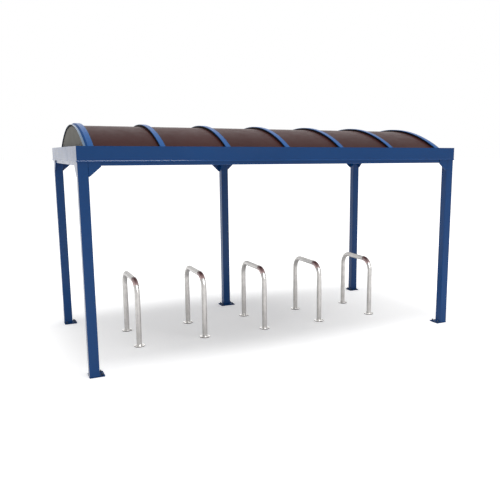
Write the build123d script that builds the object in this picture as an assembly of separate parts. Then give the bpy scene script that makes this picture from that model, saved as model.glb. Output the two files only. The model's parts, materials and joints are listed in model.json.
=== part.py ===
from build123d import *
from math import asin, degrees
import os

# A bike shelter in millimetres, +Z up. Square steel posts carry a ring of beams, a gutter with a
# fascia round it, and a glazed barrel vault on curved hoops. Five bent tube stands are set out under it.
# The origin is the centre of the footprint, on the ground. +X runs along the shelter, -Y is its open front.

# ---------------------------------------------------------------- driving dimensions
FRAME_LENGTH = 4552        # over the outer faces of the posts, along X
FRAME_DEPTH = 2285         # over the outer faces of the posts, along Y
EAVES_HEIGHT = 2285        # top of the fascia
CROWN_RISE = 260           # from the fascia's top to the top of the hoops

POST_WIDTH = 100
POST_WALL = 4
POST_CORNER_RADIUS = 8

PLATE_THICKNESS = 12
PLATE_REACH = 50           # how far a base plate reaches past its post
PLATE_HOLE_RADIUS = 7
PLATE_HOLE_EDGE = 25       # from a hole's centre to the plate's edge

BEAM_DROP = 35             # how far the beams show below the fascia
BEAM_HEIGHT = 70
BEAM_WIDTH = 140
BEAM_WALL = 4
BEAM_CORNER_RADIUS = 6

GUSSET_REACH = 118         # along the beam, from a corner post
GUSSET_DROP = 103          # down the post, from the beam
MIDDLE_GUSSET_REACH = 143  # the same at the middle post
MIDDLE_GUSSET_DROP = 138
GUSSET_THICKNESS = 10      # the beams stand this far back from the posts' outer faces
GUSSET_NOSE = 8            # blunt end of a gusset's lower tip

FASCIA_HEIGHT = 151
FASCIA_STAND_OFF = 4       # from the posts' outer faces to the fascia's outer face
FASCIA_LIP = 6             # how far the drip lip kicks out
FASCIA_LIP_HEIGHT = 15
FASCIA_LIP_NOSE = 9
FASCIA_TOP_RETURN = 15
SHEET = 3                  # thickness of the folded fascia and gutter sheet

KERB_INSET = 99            # from the posts' outer faces to the kerb
KERB_SIZE = 50
KERB_WALL = 4
GUTTER_OUTER_DROP = 6      # the gutter's outer wall stops this far under the fascia's top
GUTTER_INNER_DROP = 10     # its inner wall stops this far under the kerb's top

HOOP_COUNT = 7
HOOP_END_INSET = 129       # from the fascia's end face to the first hoop's edge
CAP_WIDTH = 55
CAP_THICKNESS = 6
CAP_CHAMFER = 3
SEAL_HEIGHT = 20
SEAL_WIDTH = 13
SEAL_LIP = 4               # how far the seals show past the cap's edge
END_SKIRT_REACH = 16       # how far the end hoops' sloping skirt reaches past the cap's edge
PANEL_THICKNESS = 10
PANEL_EDGE_CLEARANCE = 4
PANEL_OVERHANG = 31        # how far the roof panels reach out over the gutter
KERB_CLEARANCE = 1
RAFTER_WIDTH = 40
RAFTER_DEPTH = 30
RAFTER_WALL = 3
WEB_WIDTH = 12

RIM_REACH = 37             # how far an end rim stands out past the first hoop's edge
RIM_THICKNESS = 4
RIM_STEP = 15              # the rim's outer face lies this far inside the hoops' outer face
END_PANEL_RECESS = 10
END_PANEL_THICKNESS = 6
END_PANEL_SIDE_CLEARANCE = 5
END_SEAL_LIP = 2
END_SEAL_HEIGHT = 17
END_SEAL_EDGE = 10         # from the end panel's curved edge to the rim

STAND_COUNT = 5
STAND_PITCH = 800
STAND_SETBACK = 32         # the stands' middle lies this far behind the shelter's middle
STAND_SPREAD = 700         # between the centres of a stand's two legs
STAND_HEIGHT = 795
STAND_TUBE_RADIUS = 31
STAND_TUBE_WALL = 3
STAND_BEND_RADIUS = 155
FLANGE_RADIUS = 65
FLANGE_THICKNESS = 10
FLANGE_HOLE_COUNT = 3
FLANGE_HOLE_CIRCLE = 48    # radius of the circle that the holes lie on
FLANGE_HOLE_RADIUS = 5.5
BAND_THICKNESS = 1.5
BAND_CLEARANCE = 0.2
BAND_ANGLE = 50            # how far the band wraps round the front bend

# ---------------------------------------------------------------- sizes that follow from them
HALF_LENGTH = FRAME_LENGTH / 2
HALF_DEPTH = FRAME_DEPTH / 2
FASCIA_BOTTOM = EAVES_HEIGHT - FASCIA_HEIGHT
BEAM_BOTTOM = FASCIA_BOTTOM - BEAM_DROP
BEAM_TOP = BEAM_BOTTOM + BEAM_HEIGHT
KERB_TOP = BEAM_TOP + KERB_SIZE
KERB_OUTER = HALF_DEPTH - KERB_INSET

# The panels' underside is an arc from kerb to kerb. It crosses the kerbs' top just outside them.
CROWN_HEIGHT = EAVES_HEIGHT + CROWN_RISE
CHORD_HALF = KERB_OUTER + KERB_CLEARANCE
CHORD_RISE = CROWN_HEIGHT - CAP_THICKNESS - SEAL_HEIGHT - PANEL_THICKNESS - KERB_TOP
PANEL_INNER = (CHORD_HALF**2 + CHORD_RISE**2) / (2 * CHORD_RISE)
PANEL_OUTER = PANEL_INNER + PANEL_THICKNESS
CAP_UNDERSIDE = PANEL_OUTER + SEAL_HEIGHT
ARCH_RADIUS = CAP_UNDERSIDE + CAP_THICKNESS
RAFTER_INNER = PANEL_INNER - RAFTER_DEPTH
ARCH_CENTRE = CROWN_HEIGHT - ARCH_RADIUS
ARCH_AXIS = Axis((0, 0, ARCH_CENTRE), (1, 0, 0))
EAVES_ANGLE = degrees(asin((KERB_OUTER + PANEL_OVERHANG) / PANEL_INNER))

HOOP_FIRST = -(HALF_LENGTH + FASCIA_STAND_OFF - HOOP_END_INSET - CAP_WIDTH / 2)
HOOP_PITCH = -2 * HOOP_FIRST / (HOOP_COUNT - 1)
HOOP_PLACES = [HOOP_FIRST + n * HOOP_PITCH for n in range(HOOP_COUNT)]

RIM_OUTER_EDGE = -HOOP_FIRST + CAP_WIDTH / 2 + RIM_REACH
RIM_FACE = ARCH_RADIUS - RIM_STEP
END_PANEL_OUTER_FACE = RIM_OUTER_EDGE - END_PANEL_RECESS
END_PANEL_INNER_FACE = END_PANEL_OUTER_FACE - END_PANEL_THICKNESS
END_PANEL_RADIUS = RIM_FACE - RIM_THICKNESS - END_SEAL_EDGE

STAND_FRONT = STAND_SETBACK - STAND_SPREAD / 2
STAND_REAR = STAND_SETBACK + STAND_SPREAD / 2
STAND_CENTRE_HEIGHT = STAND_HEIGHT - STAND_TUBE_RADIUS
STAND_PLACES = [(n - (STAND_COUNT - 1) / 2) * STAND_PITCH for n in range(STAND_COUNT)]

# Each post: its place along X and Y as the sign of the side that its outer faces are on.
POST_SIDES = {
    "front_left": (-1, -1),
    "front_right": (1, -1),
    "rear_left": (-1, 1),
    "rear_middle": (0, 1),
    "rear_right": (1, 1),
}
SIDE_ANGLES = {"front": 0, "right": 90, "rear": 180, "left": 270}


# ---------------------------------------------------------------- helpers
def block(low, high):
    """A block between two opposite corners."""
    size = [b - a for a, b in zip(low, high)]
    centre = [(a + b) / 2 for a, b in zip(low, high)]
    return Pos(*centre) * Box(*size)


def post_centre(sides):
    """The centre of a post on the ground, from the sides that its outer faces are on."""
    return (sides[0] * (HALF_LENGTH - POST_WIDTH / 2), sides[1] * (HALF_DEPTH - POST_WIDTH / 2))


def side_spans(side):
    """Half the length of one side of the frame, and the distance of its face from the centre."""
    if side in ("front", "rear"):
        return HALF_LENGTH, HALF_DEPTH
    return HALF_DEPTH, HALF_LENGTH


def side_run(section, side):
    """Runs a section along one side. Its points are (outwards from the posts' faces, height)."""
    half_run, face = side_spans(side)
    outline = Polyline([(0, -(face + out), z) for out, z in section], close=True)
    return extrude(make_face(outline), half_run + POST_WIDTH, dir=(1, 0, 0), both=True)


def mitred(run, outer, inner):
    """Cuts both ends of a run on the vertical planes through a corner's outer and inner point."""
    normal_x = inner[1] - outer[1]
    normal_y = outer[0] - inner[0]
    for end in (1, -1):
        plane = Plane(origin=(end * outer[0], outer[1], 0), z_dir=(end * normal_x, normal_y, 0))
        run = split(run, bisect_by=plane, keep=Keep.BOTTOM)
    return run


def turned(run, side):
    """Turns a run from the front to the side that it belongs to."""
    return run.rotate(Axis.Z, SIDE_ANGLES[side])


def above(shape, height):
    """What is left of a shape above a level."""
    return split(shape, bisect_by=Plane.XY.offset(height), keep=Keep.TOP)


def arch_strip(start_x, end_x, inner, outer, angle=EAVES_ANGLE):
    """A curved strip of the vault between two places along X and two radii."""
    middle = (start_x + end_x) / 2
    height = ARCH_CENTRE + (inner + outer) / 2
    section = Plane.XZ * (Pos(middle, height) * Rectangle(end_x - start_x, outer - inner))
    return revolve(section.rotate(ARCH_AXIS, -angle), ARCH_AXIS, 2 * angle)


# ---------------------------------------------------------------- frame
def post(sides):
    """A square tube from its base plate up to the top of the beams."""
    x, y = post_centre(sides)
    bore = POST_WIDTH - 2 * POST_WALL
    tube = RectangleRounded(POST_WIDTH, POST_WIDTH, POST_CORNER_RADIUS)
    tube -= RectangleRounded(bore, bore, POST_CORNER_RADIUS - POST_WALL)
    return Pos(x, y, PLATE_THICKNESS) * extrude(tube, BEAM_TOP - PLATE_THICKNESS)


def base_plate(sides):
    """A plate flush with the post's outer faces, with bolt holes where it reaches past the post."""
    x, y = post_centre(sides)
    corner = sides[0] != 0
    width = POST_WIDTH + (PLATE_REACH if corner else 2 * PLATE_REACH)
    depth = POST_WIDTH + PLATE_REACH
    centre_x = x - sides[0] * PLATE_REACH / 2
    centre_y = y - sides[1] * PLATE_REACH / 2
    reach_x = width / 2 - PLATE_HOLE_EDGE
    reach_y = depth / 2 - PLATE_HOLE_EDGE
    holes = [(reach_x, reach_y), (reach_x, -reach_y), (-reach_x, reach_y), (-reach_x, -reach_y)]
    if corner:
        holes.remove((sides[0] * reach_x, sides[1] * reach_y))
    plate = Rectangle(width, depth)
    for hole in holes:
        plate -= Pos(*hole) * Circle(PLATE_HOLE_RADIUS)
    return Pos(centre_x, centre_y) * extrude(plate, PLATE_THICKNESS)


def beam(side):
    """A rectangular tube, mitred at the corners and coped round the posts that it meets."""
    half_run, face = side_spans(side)
    centre_y = -(face - GUSSET_THICKNESS - BEAM_WIDTH / 2)
    centre_z = BEAM_BOTTOM + BEAM_HEIGHT / 2
    tube = RectangleRounded(BEAM_WIDTH, BEAM_HEIGHT, BEAM_CORNER_RADIUS)
    tube -= RectangleRounded(
        BEAM_WIDTH - 2 * BEAM_WALL, BEAM_HEIGHT - 2 * BEAM_WALL, BEAM_CORNER_RADIUS - BEAM_WALL
    )
    section = Plane.YZ * (Pos(centre_y, centre_z) * tube)
    run = extrude(section, half_run, both=True)
    inset = GUSSET_THICKNESS
    outer = (half_run - inset, -(face - inset))
    inner = (half_run - inset - BEAM_WIDTH, -(face - inset - BEAM_WIDTH))
    run = turned(mitred(run, outer, inner), side)
    for sides in POST_SIDES.values():
        x, y = post_centre(sides)
        run -= Pos(x, y, centre_z) * Box(POST_WIDTH, POST_WIDTH, 2 * BEAM_HEIGHT)
    return run


def gusset(side, post_face, reach, drop):
    """A plate on the beam's outer face, from a post's face on. Its top laps over the beam's face."""
    face = side_spans(side)[1]
    nose = GUSSET_NOSE if reach > 0 else -GUSSET_NOSE
    outline = [
        (0, BEAM_BOTTOM - drop),
        (nose, BEAM_BOTTOM - drop),
        (reach, BEAM_BOTTOM - GUSSET_NOSE),
        (reach, FASCIA_BOTTOM),
        (0, FASCIA_BOTTOM),
    ]
    points = [(post_face + out, -face, z) for out, z in outline]
    plate = extrude(make_face(Polyline(points, close=True)), GUSSET_THICKNESS, dir=(0, 1, 0))
    return turned(plate, side)


def gussets():
    """All gussets: one at each end of every side, and two at the middle post."""
    plates = []
    for side in SIDE_ANGLES:
        post_face = side_spans(side)[0] - POST_WIDTH
        plates.append(gusset(side, -post_face, GUSSET_REACH, GUSSET_DROP))
        plates.append(gusset(side, post_face, -GUSSET_REACH, GUSSET_DROP))
    plates.append(gusset("rear", POST_WIDTH / 2, MIDDLE_GUSSET_REACH, MIDDLE_GUSSET_DROP))
    plates.append(gusset("rear", -POST_WIDTH / 2, -MIDDLE_GUSSET_REACH, MIDDLE_GUSSET_DROP))
    return plates


# ---------------------------------------------------------------- fascia, gutter and kerb
def fascia(side):
    """A folded sheet with a returned top edge and a drip lip along its bottom edge."""
    half_run, face = side_spans(side)
    out = FASCIA_STAND_OFF
    lip_out = out + FASCIA_LIP
    lip_top = FASCIA_BOTTOM + FASCIA_LIP_HEIGHT
    nose_top = FASCIA_BOTTOM + FASCIA_LIP_NOSE
    section = [
        (out, EAVES_HEIGHT),
        (out, lip_top),
        (lip_out, nose_top),
        (lip_out, FASCIA_BOTTOM),
        (0, FASCIA_BOTTOM),
        (0, FASCIA_BOTTOM + SHEET),
        (lip_out - SHEET, FASCIA_BOTTOM + SHEET),
        (out - SHEET, lip_top),
        (out - SHEET, EAVES_HEIGHT - SHEET),
        (out - FASCIA_TOP_RETURN, EAVES_HEIGHT - SHEET),
        (out - FASCIA_TOP_RETURN, EAVES_HEIGHT),
    ]
    run = mitred(side_run(section, side), (half_run, -face), (half_run - 1, -face + 1))
    return turned(run, side)


def gutter_inner(side):
    """How far inside the posts' faces the inner wall's outer surface lies, on each side."""
    if side in ("front", "rear"):
        return KERB_OUTER - HALF_DEPTH
    return END_PANEL_OUTER_FACE + KERB_CLEARANCE - HALF_LENGTH


def gutter(side):
    """A folded channel on the beams, between the fascia and what the roof stands on."""
    half_run, face = side_spans(side)
    outer = FASCIA_STAND_OFF - SHEET
    inner = gutter_inner(side)
    end_inner = gutter_inner("left" if side in ("front", "rear") else "front")
    outer_top = EAVES_HEIGHT - GUTTER_OUTER_DROP
    inner_top = KERB_TOP - GUTTER_INNER_DROP
    section = [
        (outer, BEAM_TOP),
        (outer, outer_top),
        (outer - SHEET, outer_top),
        (outer - SHEET, BEAM_TOP + SHEET),
        (inner + SHEET, BEAM_TOP + SHEET),
        (inner + SHEET, inner_top),
        (inner, inner_top),
        (inner, BEAM_TOP),
    ]
    outer_corner = (half_run + outer, -(face + outer))
    inner_corner = (half_run + end_inner, -(face + inner))
    return turned(mitred(side_run(section, side), outer_corner, inner_corner), side)


def kerb(side):
    """The square tube along the gutter's inner wall that the hoops stand on."""
    sign = -1 if side == "front" else 1
    bore = KERB_SIZE - 2 * KERB_WALL
    tube = Rectangle(KERB_SIZE, KERB_SIZE) - Rectangle(bore, bore)
    section = Plane.YZ * (Pos(sign * (KERB_OUTER - KERB_SIZE / 2), BEAM_TOP + KERB_SIZE / 2) * tube)
    return extrude(section, END_PANEL_INNER_FACE - KERB_CLEARANCE, both=True)


# ---------------------------------------------------------------- roof
def hoop_section():
    """The cap and web of a hoop, about the hoop's centre line, at their true radius."""
    cap = Pos(0, ARCH_RADIUS - CAP_THICKNESS / 2) * Rectangle(CAP_WIDTH, CAP_THICKNESS)
    cap = chamfer(cap.vertices().group_by(Axis.Y)[-1], CAP_CHAMFER)
    web = Pos(0, (PANEL_INNER + CAP_UNDERSIDE) / 2) * Rectangle(WEB_WIDTH, CAP_UNDERSIDE - PANEL_INNER)
    return cap + web


def rafter_section():
    """The hollow rafter under the web of a hoop."""
    bore = (RAFTER_WIDTH - 2 * RAFTER_WALL, RAFTER_DEPTH - 2 * RAFTER_WALL)
    tube = Rectangle(RAFTER_WIDTH, RAFTER_DEPTH) - Rectangle(*bore)
    return Pos(0, RAFTER_INNER + RAFTER_DEPTH / 2) * tube


def swept_hoop(section, place, angle):
    """Revolves a section of a hoop about the vault's axis."""
    face = Plane.XZ * (Pos(place, ARCH_CENTRE) * section)
    return revolve(face.rotate(ARCH_AXIS, -angle), ARCH_AXIS, 2 * angle)


def hoop(place):
    """A curved glazing bar: a cap, a web between the panels' edges and a hollow rafter."""
    cap = swept_hoop(hoop_section(), place, EAVES_ANGLE)
    rafter = swept_hoop(rafter_section(), place, EAVES_ANGLE + 3)
    return above(cap + rafter, KERB_TOP)


def end_skirt(sign):
    """The sloping skirt from the cap of an end hoop down to the rim."""
    outline = [
        (sign * RAFTER_WIDTH / 2, RIM_FACE),
        (sign * (CAP_WIDTH / 2 + END_SKIRT_REACH), RIM_FACE),
        (sign * CAP_WIDTH / 2, ARCH_RADIUS - CAP_CHAMFER),
        (sign * RAFTER_WIDTH / 2, ARCH_RADIUS - CAP_CHAMFER),
    ]
    section = make_face(Polyline(outline, close=True))
    return above(swept_hoop(section, sign * HOOP_PLACES[-1], EAVES_ANGLE), KERB_TOP)


def end_hoop(sign):
    """The first or the last hoop, with its skirt."""
    return hoop(sign * HOOP_PLACES[-1]) + end_skirt(sign)


def roof_panel(bay):
    """One curved sheet, held between the webs of two hoops."""
    gap = WEB_WIDTH / 2 + PANEL_EDGE_CLEARANCE
    return arch_strip(HOOP_PLACES[bay] + gap, HOOP_PLACES[bay + 1] - gap, PANEL_INNER, PANEL_OUTER)


def end_rim(sign):
    """A curved angle round the end of the vault, fixed to the side of the last rafter."""
    hoop_x = sign * HOOP_PLACES[-1]
    edge = [hoop_x + sign * RAFTER_WIDTH / 2, sign * RIM_OUTER_EDGE]
    leg = [edge[0], edge[0] + sign * RIM_THICKNESS]
    flange = arch_strip(min(edge), max(edge), RIM_FACE - RIM_THICKNESS, RIM_FACE)
    flange += arch_strip(min(leg), max(leg), RAFTER_INNER, RIM_FACE - RIM_THICKNESS)
    return above(flange, KERB_TOP)


def end_panel(sign):
    """The flat sheet that closes the end of the vault. Its foot stands between the gutters."""
    side = KERB_OUTER - END_PANEL_SIDE_CLEARANCE
    faces = sorted([sign * END_PANEL_INNER_FACE, sign * END_PANEL_OUTER_FACE])
    disc = Pos(faces[0], 0, ARCH_CENTRE) * extrude(
        Plane.YZ * Circle(END_PANEL_RADIUS), END_PANEL_THICKNESS
    )
    foot = block((faces[0], -side, BEAM_TOP), (faces[1], side, KERB_TOP))
    return above(disc, KERB_TOP) + foot


def end_seal(sign):
    """The rubber channel between the end panel's curved edge and the rim."""
    low, high = sorted([sign * END_PANEL_INNER_FACE, sign * END_PANEL_OUTER_FACE])
    outer = RIM_FACE - RIM_THICKNESS
    channel = arch_strip(low - END_SEAL_LIP, high + END_SEAL_LIP, outer - END_SEAL_HEIGHT, outer)
    channel -= arch_strip(low, high, outer - 2 * END_SEAL_HEIGHT, END_PANEL_RADIUS)
    return above(channel, KERB_TOP)


def seal_strip(hoop_x, sign):
    """A seal under one edge of a hoop's cap, that shows past the edge as a lip."""
    cap_edge = hoop_x + sign * CAP_WIDTH / 2
    edges = [cap_edge + sign * SEAL_LIP, cap_edge + sign * (SEAL_LIP - SEAL_WIDTH)]
    return arch_strip(min(edges), max(edges), PANEL_OUTER, CAP_UNDERSIDE)


def glazing_seals():
    """The seals along the roof panels' edges and round both end panels."""
    seals = []
    for bay in range(HOOP_COUNT - 1):
        seals.append(seal_strip(HOOP_PLACES[bay], 1))
        seals.append(seal_strip(HOOP_PLACES[bay + 1], -1))
    seals.append(end_seal(-1))
    seals.append(end_seal(1))
    return seals


# ---------------------------------------------------------------- cycle stands
def stand_route(place):
    """The centre line of a stand: two legs and a top, joined by bends."""
    corners = [
        (place, STAND_FRONT, 0),
        (place, STAND_FRONT, STAND_CENTRE_HEIGHT),
        (place, STAND_REAR, STAND_CENTRE_HEIGHT),
        (place, STAND_REAR, 0),
    ]
    return FilletPolyline(corners, radius=STAND_BEND_RADIUS)


def stand_rod(place, radius):
    """A round rod along a stand's centre line."""
    start = Plane(origin=(place, STAND_FRONT, 0), z_dir=(0, 0, 1))
    return sweep(start * Circle(radius), path=stand_route(place))


def flange(place, leg):
    """A round foot plate, with a ring of bolt holes round the tube's open end."""
    disc = Circle(FLANGE_RADIUS) - Circle(STAND_TUBE_RADIUS - STAND_TUBE_WALL)
    for n in range(FLANGE_HOLE_COUNT):
        turn = Rot(0, 0, 90 + n * 360 / FLANGE_HOLE_COUNT)
        disc -= turn * Pos(FLANGE_HOLE_CIRCLE, 0) * Circle(FLANGE_HOLE_RADIUS)
    return Pos(place, leg) * extrude(disc, FLANGE_THICKNESS)


def stand(place):
    """A bent tube with a flange welded to each foot."""
    tube = stand_rod(place, STAND_TUBE_RADIUS) - stand_rod(place, STAND_TUBE_RADIUS - STAND_TUBE_WALL)
    return tube + flange(place, STAND_FRONT) + flange(place, STAND_REAR)


def band(place):
    """The coloured sleeve round the upper half of a stand's front bend."""
    centre_y = STAND_FRONT + STAND_BEND_RADIUS
    centre_z = STAND_CENTRE_HEIGHT - STAND_BEND_RADIUS
    axis = Axis((place, centre_y, centre_z), (1, 0, 0))
    bore = STAND_TUBE_RADIUS + BAND_CLEARANCE
    ring = Circle(bore + BAND_THICKNESS) - Circle(bore)
    section = Plane.XZ * (Pos(place, STAND_CENTRE_HEIGHT) * ring)
    return revolve(Pos(0, centre_y, 0) * section, axis, BAND_ANGLE)


# ---------------------------------------------------------------- nodes
def build_nodes():
    """Every piece of the shelter by its node's name."""
    nodes = {}
    for name, sides in POST_SIDES.items():
        nodes[f"post_{name}"] = post(sides)
    nodes["base_plates"] = Compound(children=[base_plate(sides) for sides in POST_SIDES.values()])
    nodes["gussets"] = Compound(children=gussets())
    for side in SIDE_ANGLES:
        nodes[f"beam_{side}"] = beam(side)
        nodes[f"fascia_{side}"] = fascia(side)
        nodes[f"gutter_{side}"] = gutter(side)
    for side in ("front", "rear"):
        nodes[f"kerb_{side}"] = kerb(side)
    nodes["hoop_1"] = end_hoop(-1)
    for number in range(2, HOOP_COUNT):
        nodes[f"hoop_{number}"] = hoop(HOOP_PLACES[number - 1])
    nodes[f"hoop_{HOOP_COUNT}"] = end_hoop(1)
    for bay in range(HOOP_COUNT - 1):
        nodes[f"roof_panel_{bay + 1}"] = roof_panel(bay)
    for end, sign in (("left", -1), ("right", 1)):
        nodes[f"end_panel_{end}"] = end_panel(sign)
        nodes[f"end_rim_{end}"] = end_rim(sign)
    nodes["glazing_seals"] = Compound(children=glazing_seals())
    for number, place in enumerate(STAND_PLACES, 1):
        nodes[f"stand_{number}"] = stand(place)
    nodes["stand_bands"] = Compound(children=[band(place) for place in STAND_PLACES])
    return nodes


os.makedirs("parts", exist_ok=True)
for node_name, shape in build_nodes().items():
    export_step(shape, f"parts/{node_name}.step")
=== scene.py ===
"""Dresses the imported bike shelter: paint, tinted glazing, satin steel, fasteners, floor, light and camera."""

import json
import math

import bmesh
import bpy
from mathutils import Euler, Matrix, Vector

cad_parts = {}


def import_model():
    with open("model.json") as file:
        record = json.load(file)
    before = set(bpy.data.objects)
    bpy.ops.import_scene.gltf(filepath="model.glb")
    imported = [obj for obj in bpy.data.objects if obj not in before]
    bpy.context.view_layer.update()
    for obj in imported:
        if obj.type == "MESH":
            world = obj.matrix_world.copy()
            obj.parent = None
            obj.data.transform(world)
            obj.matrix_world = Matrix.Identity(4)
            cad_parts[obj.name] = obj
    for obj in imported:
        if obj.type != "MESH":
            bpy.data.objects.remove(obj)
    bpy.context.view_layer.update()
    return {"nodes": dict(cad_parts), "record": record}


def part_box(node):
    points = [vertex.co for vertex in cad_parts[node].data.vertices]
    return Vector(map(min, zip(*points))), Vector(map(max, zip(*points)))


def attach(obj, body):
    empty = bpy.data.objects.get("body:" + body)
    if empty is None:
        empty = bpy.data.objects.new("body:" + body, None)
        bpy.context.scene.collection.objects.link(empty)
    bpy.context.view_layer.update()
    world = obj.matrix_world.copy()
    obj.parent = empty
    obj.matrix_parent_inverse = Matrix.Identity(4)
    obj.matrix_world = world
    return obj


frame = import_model()
nodes = frame["nodes"]
record = frame["record"]

# ---------------------------------------------------------------- sizes in metres
FLUTE_PITCH = 0.011        # between the webs of the twin-wall sheet
FACE_MARGIN = 0.0003       # how far from its height a flange's face still counts as the face
FLUSH_MARGIN = 0.001       # how near its plate's edge a post's side counts as flush with it

POST_CORNER_RADIUS = 0.008
SLEEVE_OFFSET = 0.0017     # from the tube to the outside of its sleeve
CAP_CHAMFER = 0.003

WASHER_EDGE = 0.0004
NUT_EDGE = 0.0006
M12_WASHER = (0.012, 0.0025)     # radius, thickness
M12_NUT = (0.018, 0.0104)        # across the flats, height
M12_RADIUS = 0.006
M12_PITCH = 0.00175
M12_END = 0.009                  # how far a stud's thread stands out of its nut
M12_TIP = 0.0012                 # the chamfered tip above the thread
M10_WASHER = (0.010, 0.002)
M10_HEAD = (0.016, 0.0064)
ANCHOR_TURN = 0.37               # each nut or head is turned on from the one before, in radians
BOLT_TURN = 0.53

# The sections of the welds: how far each corner lies out from the tube, and its height over the plate.
POST_WELD = ((0.0, 0.0), (0.005, 0.0), (0.0024, 0.0030), (0.0, 0.005))
FOOT_WELD = ((0.0, 0.0), (0.006, 0.0), (0.0046, 0.0020), (0.0026, 0.0042), (0.0, 0.006))

STRIP_OUT = 0.0006         # from an end hoop's skirt to the face of its strip of painted shade, along the shelter
STRIP_UP = 0.0008          # the same, away from the vault's axis
STRIP_END = 0.002          # a strip of painted shade stops this far before the skirt's ends, in radians
STRIP_STEPS = 96

POST_NAMES = ("front_left", "front_right", "rear_left", "rear_middle", "rear_right")
STAND_COUNT = 5
SHARP_EDGE = math.radians(35)
FIRST_FLANGE = next(mount for mount in record["mounts"] if mount["name"] == "stand_1_front_flange")
FLANGE_TOP = 2 * FIRST_FLANGE["pos_m"][2]


# ---------------------------------------------------------------- node helpers
class Tree:
    """A node tree, with short ways to add and join nodes."""

    def __init__(self, owner):
        owner.use_nodes = True
        self.nodes = owner.node_tree.nodes
        self.links = owner.node_tree.links

    def feed(self, socket, value):
        """Gives a socket a plain value, or joins it to another node's output."""
        if isinstance(value, bpy.types.NodeSocket):
            self.links.new(value, socket)
        else:
            socket.default_value = value

    def span(self, value, low, high, start=0.0, end=1.0):
        """Maps low..high of a value to start..end, and no further."""
        node = self.nodes.new("ShaderNodeMapRange")
        sources = {"Value": value, "From Min": low, "From Max": high, "To Min": start, "To Max": end}
        for name, source in sources.items():
            self.feed(node.inputs[name], source)
        return node.outputs["Result"]

    def math(self, operation, first, second=0.0):
        """One step of arithmetic on numbers or other nodes' outputs."""
        node = self.nodes.new("ShaderNodeMath")
        node.operation = operation
        self.feed(node.inputs[0], first)
        self.feed(node.inputs[1], second)
        return node.outputs["Value"]

    def looked_at(self):
        """1 for rays that look at a thing, straight, in a reflection or through a sheet, and 0 for light."""
        path = self.nodes.new("ShaderNodeLightPath")
        direct = self.math("MAXIMUM", path.outputs["Is Camera Ray"], path.outputs["Is Glossy Ray"])
        return self.math("MAXIMUM", direct, path.outputs["Is Transmission Ray"])


class Surface(Tree):
    """A material with one shader, whose textures lie in the shelter's own frame."""

    def __init__(self, name):
        self.material = bpy.data.materials.new(name)
        super().__init__(self.material)
        self.shader = self.nodes["Principled BSDF"]
        self.place = self.nodes.new("ShaderNodeTexCoord").outputs["Object"]

    def set(self, **values):
        """Feeds the shader's own sockets. An underscore stands for a space."""
        for name, value in values.items():
            self.feed(self.shader.inputs[name.replace("_", " ")], value)

    def noise(self, scale, detail=3.0, stretch=(1, 1, 1)):
        """A noise between 0 and 1. Its scale is in features per metre."""
        mapping = self.nodes.new("ShaderNodeMapping")
        mapping.inputs["Scale"].default_value = stretch
        self.feed(mapping.inputs["Vector"], self.place)
        node = self.nodes.new("ShaderNodeTexNoise")
        node.inputs["Scale"].default_value = scale
        node.inputs["Detail"].default_value = detail
        self.feed(node.inputs["Vector"], mapping.outputs["Vector"])
        return node.outputs["Fac"]

    def stripes(self, axis, pitch):
        """Soft stripes between 0 and 1, side by side along an axis."""
        node = self.nodes.new("ShaderNodeTexWave")
        node.bands_direction = axis
        # A wave of scale 1 runs through 20 radians in a metre.
        node.inputs["Scale"].default_value = 2 * math.pi / (20 * pitch)
        node.inputs["Distortion"].default_value = 0.0
        self.feed(node.inputs["Vector"], self.place)
        return node.outputs["Fac"]

    def along(self, axis):
        """One coordinate of the place, in metres."""
        node = self.nodes.new("ShaderNodeSeparateXYZ")
        self.feed(node.inputs["Vector"], self.place)
        return node.outputs[axis]

    def mix(self, factor, first, second):
        """A colour between two colours, each a plain colour or another node's output."""
        node = self.nodes.new("ShaderNodeMix")
        node.data_type = "RGBA"
        self.feed(node.inputs["Factor"], factor)
        # The node has inputs and outputs of the same names for each data type. These are the colours'.
        for socket, colour in ((node.inputs[6], first), (node.inputs[7], second)):
            self.feed(socket, (*colour, 1.0) if isinstance(colour, tuple) else colour)
        return node.outputs[2]

    def bump(self, height, strength, distance):
        """Roughens the shading by a pattern, with its full depth in metres."""
        node = self.nodes.new("ShaderNodeBump")
        node.inputs["Strength"].default_value = strength
        node.inputs["Distance"].default_value = distance
        self.feed(node.inputs["Height"], height)
        self.set(Normal=node.outputs["Normal"])


# ---------------------------------------------------------------- materials
def scaled(colour, factor):
    return tuple(min(1.0, part * factor) for part in colour)


def powder_coat(name, colour, roughness, gloss):
    """Coloured powder coat: a fine orange peel and a soft drift of colour and gloss."""
    coat = Surface(name)
    drift = coat.span(coat.noise(1.3, 4.0), 0.35, 0.65)
    speck = coat.span(coat.noise(900.0, 1.0), 0.60, 0.80, 0.0, 0.25)
    paint = coat.mix(drift, scaled(colour, 0.94), scaled(colour, 1.06))
    coat.set(
        Base_Color=coat.mix(speck, paint, scaled(colour, 1.5)),
        Roughness=coat.span(coat.noise(6.0, 4.0), 0.3, 0.7, roughness - 0.04, roughness + 0.05),
        Specular_IOR_Level=gloss,
    )
    coat.bump(coat.noise(380.0, 2.0), 0.12, 0.00006)
    return coat.material


def sheet(name, axis, colour, pale, roughness, gloss, alpha):
    """Tinted twin-wall sheet: faint flutes under a smooth skin, side by side along the named axis."""
    skin = Surface(name)
    flutes = skin.stripes(axis, FLUTE_PITCH)
    haze = skin.span(skin.noise(1.6, 4.0), 0.3, 0.7)
    web = skin.span(flutes, 0.86, 1.0, 0.0, 0.20)
    skin.set(
        Base_Color=skin.mix(web, skin.mix(haze, colour, pale), scaled(pale, 1.6)),
        Roughness=skin.span(skin.noise(9.0, 4.0), 0.3, 0.7, roughness - 0.03, roughness + 0.05),
        IOR=1.58,
        Specular_IOR_Level=gloss,
        Alpha=alpha,
    )
    skin.bump(flutes, 0.08, 0.0001)
    return skin.material


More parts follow.
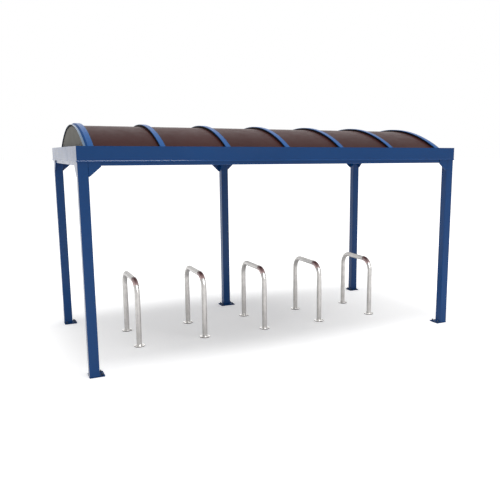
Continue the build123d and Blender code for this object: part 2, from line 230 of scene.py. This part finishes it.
def rubber():
    """Dull black rubber with a faint bloom."""
    strip = Surface("seal_rubber")
    bloom = strip.span(strip.noise(30.0, 4.0), 0.35, 0.75)
    strip.set(
        Base_Color=strip.mix(bloom, (0.003, 0.003, 0.005), (0.007, 0.007, 0.009)),
        Roughness=strip.span(strip.noise(60.0), 0.3, 0.7, 0.60, 0.78),
        Specular_IOR_Level=0.06,
    )
    strip.bump(strip.noise(700.0, 2.0), 0.15, 0.0001)
    return strip.material


def metal(name, colour, roughness, grain=(1, 1, 1), flange_shade_and_highlight=None):
    """Satin metal: fine polishing lines, faint smudges and an even sheen.

    The flange's shade and highlight give the height of a flange's face and two painted colours: a dark painted
    shade on the flange's edge below its face, and a near-white painted highlight on the face.
    """
    steel = Surface(name)
    smudge = steel.span(steel.noise(14.0, 5.0), 0.35, 0.7)
    shade = steel.mix(smudge, scaled(colour, 0.90), scaled(colour, 1.08))
    if flange_shade_and_highlight:
        # edge is a painted shade for the flange's rim below its face, and face a painted highlight for its top.
        height, edge, face = flange_shade_and_highlight
        above = steel.math("SUBTRACT", steel.along("Z"), height)
        shade = steel.mix(steel.math("LESS_THAN", above, -FACE_MARGIN), shade, edge)
        painted_highlight_mask = steel.math("LESS_THAN", steel.math("ABSOLUTE", above), FACE_MARGIN)
        shade = steel.mix(painted_highlight_mask, shade, face)
    lines = steel.noise(300.0, 3.0, grain)
    steel.set(
        Base_Color=shade,
        Roughness=steel.span(lines, 0.3, 0.7, roughness - 0.05, roughness + 0.07),
        Metallic=1.0,
    )
    steel.bump(lines, 0.10, 0.0001)
    return steel.material


def sleeve():
    """A dark red sleeve, paled to pink towards its lower end by a painted highlight."""
    cover = Surface("band_red")
    low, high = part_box("stand_bands")
    wear = cover.span(cover.noise(40.0, 5.0), 0.45, 0.8, 0.0, 0.4)
    red = cover.mix(wear, (0.120, 0.018, 0.018), (0.150, 0.036, 0.036))
    # A painted highlight: the red pales to pink towards the sleeve's lower end.
    painted_highlight_fade = cover.span(cover.along("Z"), high[2] - 0.012, low[2] + 0.040)
    cover.set(
        Base_Color=cover.mix(painted_highlight_fade, red, (0.86, 0.60, 0.58)),
        Roughness=cover.span(cover.noise(25.0), 0.3, 0.7, 0.24, 0.32),
        Specular_IOR_Level=1.0,
    )
    cover.bump(cover.noise(500.0, 2.0), 0.10, 0.0001)
    return cover.material


MATERIALS = {
    "frame_paint": powder_coat("frame_paint", (0.004, 0.059, 0.214), roughness=0.16, gloss=0.20),
    "hoop_paint": powder_coat("hoop_paint", (0.006, 0.075, 0.256), roughness=0.24, gloss=0.08),
    "rim_paint": powder_coat("rim_paint", (0.060, 0.125, 0.215), roughness=0.20, gloss=0.42),
    "roof_sheet": sheet(
        "roof_sheet", "X", (0.030, 0.0064, 0.0054), (0.039, 0.0094, 0.0083), roughness=0.34, gloss=0.03, alpha=0.99
    ),
    "end_sheet": sheet(
        "end_sheet", "Y", (0.130, 0.125, 0.104), (0.151, 0.146, 0.123), roughness=0.55, gloss=0.10, alpha=0.92
    ),
    "seal_rubber": rubber(),
    "stand_steel": metal(
        "stand_steel",
        (0.52, 0.506, 0.492),
        roughness=0.32,
        grain=(0.2, 0.2, 1),
        # The flange: a dark painted shade on its edge, and a near-white painted highlight on its face.
        flange_shade_and_highlight=(FLANGE_TOP, (0.16, 0.155, 0.15), (0.98, 0.97, 0.96)),
    ),
    "band_red": sleeve(),
}
# The coat on the base plates is duller and darker than on the rest of the frame.
OWN_MATERIALS = {"base_plates": powder_coat("plate_paint", (0.003, 0.040, 0.140), roughness=0.45, gloss=0.07)}
for part in record["subparts"]:
    name = part["node"]
    mesh = nodes[name].data
    mesh.materials.clear()
    mesh.materials.append(OWN_MATERIALS.get(name) or MATERIALS[part["material_slot"]])


# ---------------------------------------------------------------- mesh helpers
def add_piece(name, slot, build, material=None):
    """Makes one mesh piece from a function that fills a bmesh, in metres in the shelter's frame."""
    form = bmesh.new()
    build(form)
    bmesh.ops.recalc_face_normals(form, faces=form.faces)
    mesh = bpy.data.meshes.new(name)
    form.to_mesh(mesh)
    form.free()
    mesh.shade_smooth()
    mesh.set_sharp_from_angle(angle=SHARP_EDGE)
    mesh.materials.append(material or MATERIALS[slot])
    piece = bpy.data.objects.new(name, mesh)
    bpy.context.scene.collection.objects.link(piece)
    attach(piece, "root")


def solid(form, rings, closed=False):
    """Joins rings of points of equal count with quads. It is capped at both ends, or closed on itself."""
    loops = [[form.verts.new(point) for point in ring] for ring in rings]
    pairs = list(zip(loops, loops[1:]))
    if closed:
        pairs.append((loops[-1], loops[0]))
    else:
        form.faces.new(loops[0])
        form.faces.new(loops[-1])
    for lower, upper in pairs:
        for n in range(len(lower)):
            after = (n + 1) % len(lower)
            form.faces.new((lower[n], lower[after], upper[after], upper[n]))


def turned(form, place, profile, count, turn=0.0, closed=False):
    """Turns a profile of (radius, height) round a vertical line. Six points make a hexagon."""
    angles = [turn + 2 * math.pi * n / count for n in range(count)]
    rings = []
    for radius, height in profile:
        level = place[2] + height
        rings.append([(place[0] + radius * math.cos(a), place[1] + radius * math.sin(a), level) for a in angles])
    solid(form, rings, closed)


def raised(place, height):
    return (place[0], place[1], place[2] + height)


# ---------------------------------------------------------------- fasteners
def washer(form, place, size):
    radius, thickness = size
    inner = radius - WASHER_EDGE
    profile = [(inner, 0), (radius, WASHER_EDGE), (radius, thickness - WASHER_EDGE), (inner, thickness)]
    turned(form, place, profile, 32)


def hexagon(form, place, size, turn):
    """A bolt's head or a nut, with its corners taken off at the top."""
    across, height = size
    corner = across / math.sqrt(3)
    profile = [
        (corner * 0.96, 0),
        (corner, NUT_EDGE),
        (corner, height * 0.80),
        (corner * 0.87, height),
        (corner * 0.70, height),
    ]
    turned(form, place, profile, 6, turn)


def stud(form, place):
    """The end of a threaded rod: ridges at the thread's pitch and a chamfered tip."""
    root = M12_RADIUS * 0.90
    profile = []
    for n in range(int(M12_END / M12_PITCH)):
        profile += [(root, n * M12_PITCH), (M12_RADIUS, (n + 0.5) * M12_PITCH)]
    profile += [(root, M12_END), (M12_RADIUS * 0.78, M12_END + M12_TIP)]
    turned(form, place, profile, 20)


def plate_holes():
    """The centres of the base plates' holes, from the record's mounts. Lines of holes share corners."""
    places = set()
    for mount in record["mounts"]:
        if not mount["name"].startswith("plate_"):
            continue
        x, y, _ = mount["pos_m"]
        half_x = mount["dims"].get("spacing_x_mm", 0) / 2000
        half_y = mount["dims"].get("spacing_y_mm", 0) / 2000
        for sign_x in (-1, 1):
            for sign_y in (-1, 1):
                places.add((round(x + sign_x * half_x, 4), round(y + sign_y * half_y, 4)))
    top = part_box("base_plates")[1][2]
    return [(x, y, top) for x, y in sorted(places)]


def stand_feet():
    """The centres of all the stands' flanges, at the height of their faces."""
    feet = []
    for number in range(1, STAND_COUNT + 1):
        low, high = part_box(f"stand_{number}")
        radius = (high[0] - low[0]) / 2
        middle = (high[0] + low[0]) / 2
        feet += [(middle, low[1] + radius, FLANGE_TOP), (middle, high[1] - radius, FLANGE_TOP)]
    return feet


def flange_holes():
    """The centres of the flanges' holes. The record states those of the first flange."""
    circle = FIRST_FLANGE["dims"]["pcd_mm"] / 2000
    count = FIRST_FLANGE["dims"]["count"]
    places = []
    for x, y, top in stand_feet():
        for n in range(count):
            angle = math.pi / 2 + 2 * math.pi * n / count
            places.append((x + circle * math.cos(angle), y + circle * math.sin(angle), top))
    return places


def plate_anchors(form):
    """M12 studs with a washer and a nut, in the base plates' holes."""
    for number, place in enumerate(plate_holes()):
        on_washer = raised(place, M12_WASHER[1])
        washer(form, place, M12_WASHER)
        hexagon(form, on_washer, M12_NUT, ANCHOR_TURN * number)
        stud(form, raised(on_washer, M12_NUT[1]))


def flange_bolts(form):
    """M10 bolts with washers, in the stands' flanges."""
    for number, place in enumerate(flange_holes()):
        washer(form, place, M10_WASHER)
        hexagon(form, raised(place, M10_WASHER[1]), M10_HEAD, BOLT_TURN * number)


# ---------------------------------------------------------------- welds and strips of painted shade
def post_ring(centre, half, reach, height):
    """Points round a post's rounded corners, a little way out from it."""
    points = []
    for corner, (sign_x, sign_y) in enumerate(((1, 1), (-1, 1), (-1, -1), (1, -1))):
        for step in range(5):
            angle = math.pi / 2 * (corner + step / 4)
            x = centre[0] + sign_x * (half - POST_CORNER_RADIUS) + (POST_CORNER_RADIUS + reach) * math.cos(angle)
            y = centre[1] + sign_y * (half - POST_CORNER_RADIUS) + (POST_CORNER_RADIUS + reach) * math.sin(angle)
            points.append((x, y, height))
    return points


def post_welds(form):
    """Fillet welds on the base plates, along the sides of each post that are not flush with its plate."""
    plates_low, plates_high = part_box("base_plates")
    for name in POST_NAMES:
        low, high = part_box(f"post_{name}")
        centre = [(low[axis] + high[axis]) / 2 for axis in (0, 1)]
        half = (high[0] - low[0]) / 2
        corner_start = half - POST_CORNER_RADIUS + 0.0001
        flush = []         # the sign of the flush side on each axis, or 0
        for axis in (0, 1):
            at_high = high[axis] > plates_high[axis] - FLUSH_MARGIN
            at_low = low[axis] < plates_low[axis] + FLUSH_MARGIN
            flush.append(at_high - at_low)
        # On a flush side there is no weld beyond the place where the corner's round starts.
        lines = []
        for reach, height in POST_WELD:
            ring = post_ring(centre, half, reach, plates_high[2] + height)
            outwards = [max((point[axis] - centre[axis]) * flush[axis] for axis in (0, 1)) for point in ring]
            kept = [distance < corner_start for distance in outwards]
            first = next(n for n in range(len(ring)) if kept[n] and not kept[n - 1])
            lines.append([ring[(first + n) % len(ring)] for n in range(sum(kept))])
        solid(form, list(zip(*lines)))


def tube_radius():
    """The radius of the stands' tubes, from the width over all the sleeves."""
    low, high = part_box("stand_bands")
    feet = stand_feet()
    return (high[0] - low[0] - (feet[-1][0] - feet[0][0])) / 2 - SLEEVE_OFFSET


def foot_welds(form):
    """The weld round each leg of a stand, on its flange."""
    radius = tube_radius()
    profile = [(radius + reach, height) for reach, height in FOOT_WELD]
    for place in stand_feet():
        turned(form, place, profile, 40, closed=True)


def vault_arc():
    """The height of the vault's axis, and the radius of a rim's outer face."""
    low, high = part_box("end_rim_left")
    half = (high[1] - low[1]) / 2
    rise = high[2] - low[2]
    radius = (half * half + rise * rise) / (2 * rise)
    return high[2] - radius, radius


def shade_strips(form):
    """A thin strip on the sloping skirt of each end hoop, in a darker, duller blue than the hoop's: painted shade
    on the skirt.
    """
    axis_height, radius = vault_arc()
    end_low, end_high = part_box("hoop_1")
    low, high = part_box("hoop_2")
    wide = (end_high[0] - end_low[0]) - (high[0] - low[0])
    tall = end_high[2] - axis_height - radius - CAP_CHAMFER
    limit = math.acos((end_low[2] - axis_height) / (radius + tall)) - STRIP_END
    angles = [limit * (2 * step / STRIP_STEPS - 1) for step in range(STRIP_STEPS + 1)]
    section = ((0.0, 0.0), (STRIP_OUT, STRIP_UP), (STRIP_OUT - wide, tall + STRIP_UP), (-wide, tall))
    for edge, sign in ((end_low[0], -1), (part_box("hoop_7")[1][0], 1)):
        rings = []
        for angle in angles:
            ring = []
            for out, up in section:
                arc = radius + up
                ring.append((edge + sign * out, arc * math.sin(angle), axis_height + arc * math.cos(angle)))
            rings.append(ring)
        solid(form, rings)


ANCHOR_STEEL = metal("anchor_steel", (0.050, 0.062, 0.085), roughness=0.42)
# The strips' paint is darker and duller than the hoops': painted shade on the end hoops' skirts.
SHADE_STRIP_PAINT = powder_coat("shade_strip_paint", (0.003, 0.048, 0.175), roughness=0.40, gloss=0.03)
add_piece("plate_anchors", "stand_steel", plate_anchors, ANCHOR_STEEL)
add_piece("flange_bolts", "stand_steel", flange_bolts)
add_piece("post_welds", "frame_paint", post_welds)
add_piece("foot_welds", "stand_steel", foot_welds)
add_piece("shade_strips", "frame_paint", shade_strips, SHADE_STRIP_PAINT)


# ---------------------------------------------------------------- floor, light and camera
SHADOW_CENTRE = (-0.39, 0.57)
# The floor's own glow grows with the distance from the shadow's centre, so that it paints the soft shadow's shape
# and depth: darkest at that centre, white further out. Each row holds the two distances in metres between which it
# grows, and its values there. The rows are added up.
NEAR_GLOW = (0.9, 2.7, 0.30, 0.53)
FAR_GLOW = (2.7, 9.0, 0.0, 0.17)
SKY_LIGHT = 0.62           # the surround's strength as a light. To the eye it is 1.


def floor():
    """A white floor that glows to the eye and keeps the shelter's cast shadow. Its glow, lowest at the shadow's
    centre, paints the soft shadow's shape and depth.
    """
    bpy.ops.mesh.primitive_plane_add(size=400)
    plane = bpy.context.object
    plane.name = "floor"
    ground = Surface("floor")
    grain = ground.span(ground.noise(3.0, 2.0), 0.3, 0.7)
    off_x = ground.math("SUBTRACT", ground.along("X"), SHADOW_CENTRE[0])
    off_y = ground.math("SUBTRACT", ground.along("Y"), SHADOW_CENTRE[1])
    squares = ground.math("ADD", ground.math("POWER", off_x, 2.0), ground.math("POWER", off_y, 2.0))
    away = ground.math("SQRT", squares)
    glow = ground.math("ADD", ground.span(away, *NEAR_GLOW), ground.span(away, *FAR_GLOW))
    ground.set(
        Base_Color=ground.mix(grain, (0.80, 0.80, 0.80), (0.82, 0.82, 0.82)),
        Roughness=0.9,
        Emission_Color=(1, 1, 1, 1),
        Emission_Strength=ground.math("MULTIPLY", ground.looked_at(), glow),
    )
    plane.data.materials.append(ground.material)


def world():
    """A white surround, brighter to the eye and in reflections than as a light."""
    surround = bpy.data.worlds.new("surround")
    bpy.context.scene.world = surround
    tree = Tree(surround)
    background = tree.nodes["Background"]
    background.inputs["Color"].default_value = (1, 1, 1, 1)
    tree.feed(background.inputs["Strength"], tree.span(tree.looked_at(), 0.0, 1.0, SKY_LIGHT, 1.0))


def lamp(name, place, target, size, power, lights_surfaces=True):
    """A round lamp, aimed at a point. One that doesn't light surfaces shows in reflections only."""
    data = bpy.data.lights.new(name, "AREA")
    data.shape = "DISK"
    data.size = size
    data.energy = power
    lamp_object = bpy.data.objects.new(name, data)
    bpy.context.scene.collection.objects.link(lamp_object)
    lamp_object.location = place
    lamp_object.rotation_euler = (Vector(target) - Vector(place)).to_track_quat("-Z", "Y").to_euler()
    lamp_object.visible_diffuse = lights_surfaces


def camera():
    data = bpy.data.cameras.new("camera")
    data.lens = 42.98
    data.sensor_width = 36.0
    data.shift_x = -0.080
    data.shift_y = 0.0106
    data.clip_end = 500.0
    camera_object = bpy.data.objects.new("camera", data)
    bpy.context.scene.collection.objects.link(camera_object)
    camera_object.location = (-3.0178, -7.0958, 2.2131)
    camera_object.rotation_euler = Euler((math.pi / 2 - 0.1686, 0.0, -0.463))
    bpy.context.scene.camera = camera_object


floor()
world()
lamp("top", (-0.5, -1.5, 14.0), (0.0, 0.0, 2.0), size=6.0, power=1060.0)
lamp("glint", (0.8, -5.1, 5.4), (0.0, -0.35, 0.7), size=6.4, power=640.0, lights_surfaces=False)
camera()
bpy.context.scene.view_settings.view_transform = "Standard"
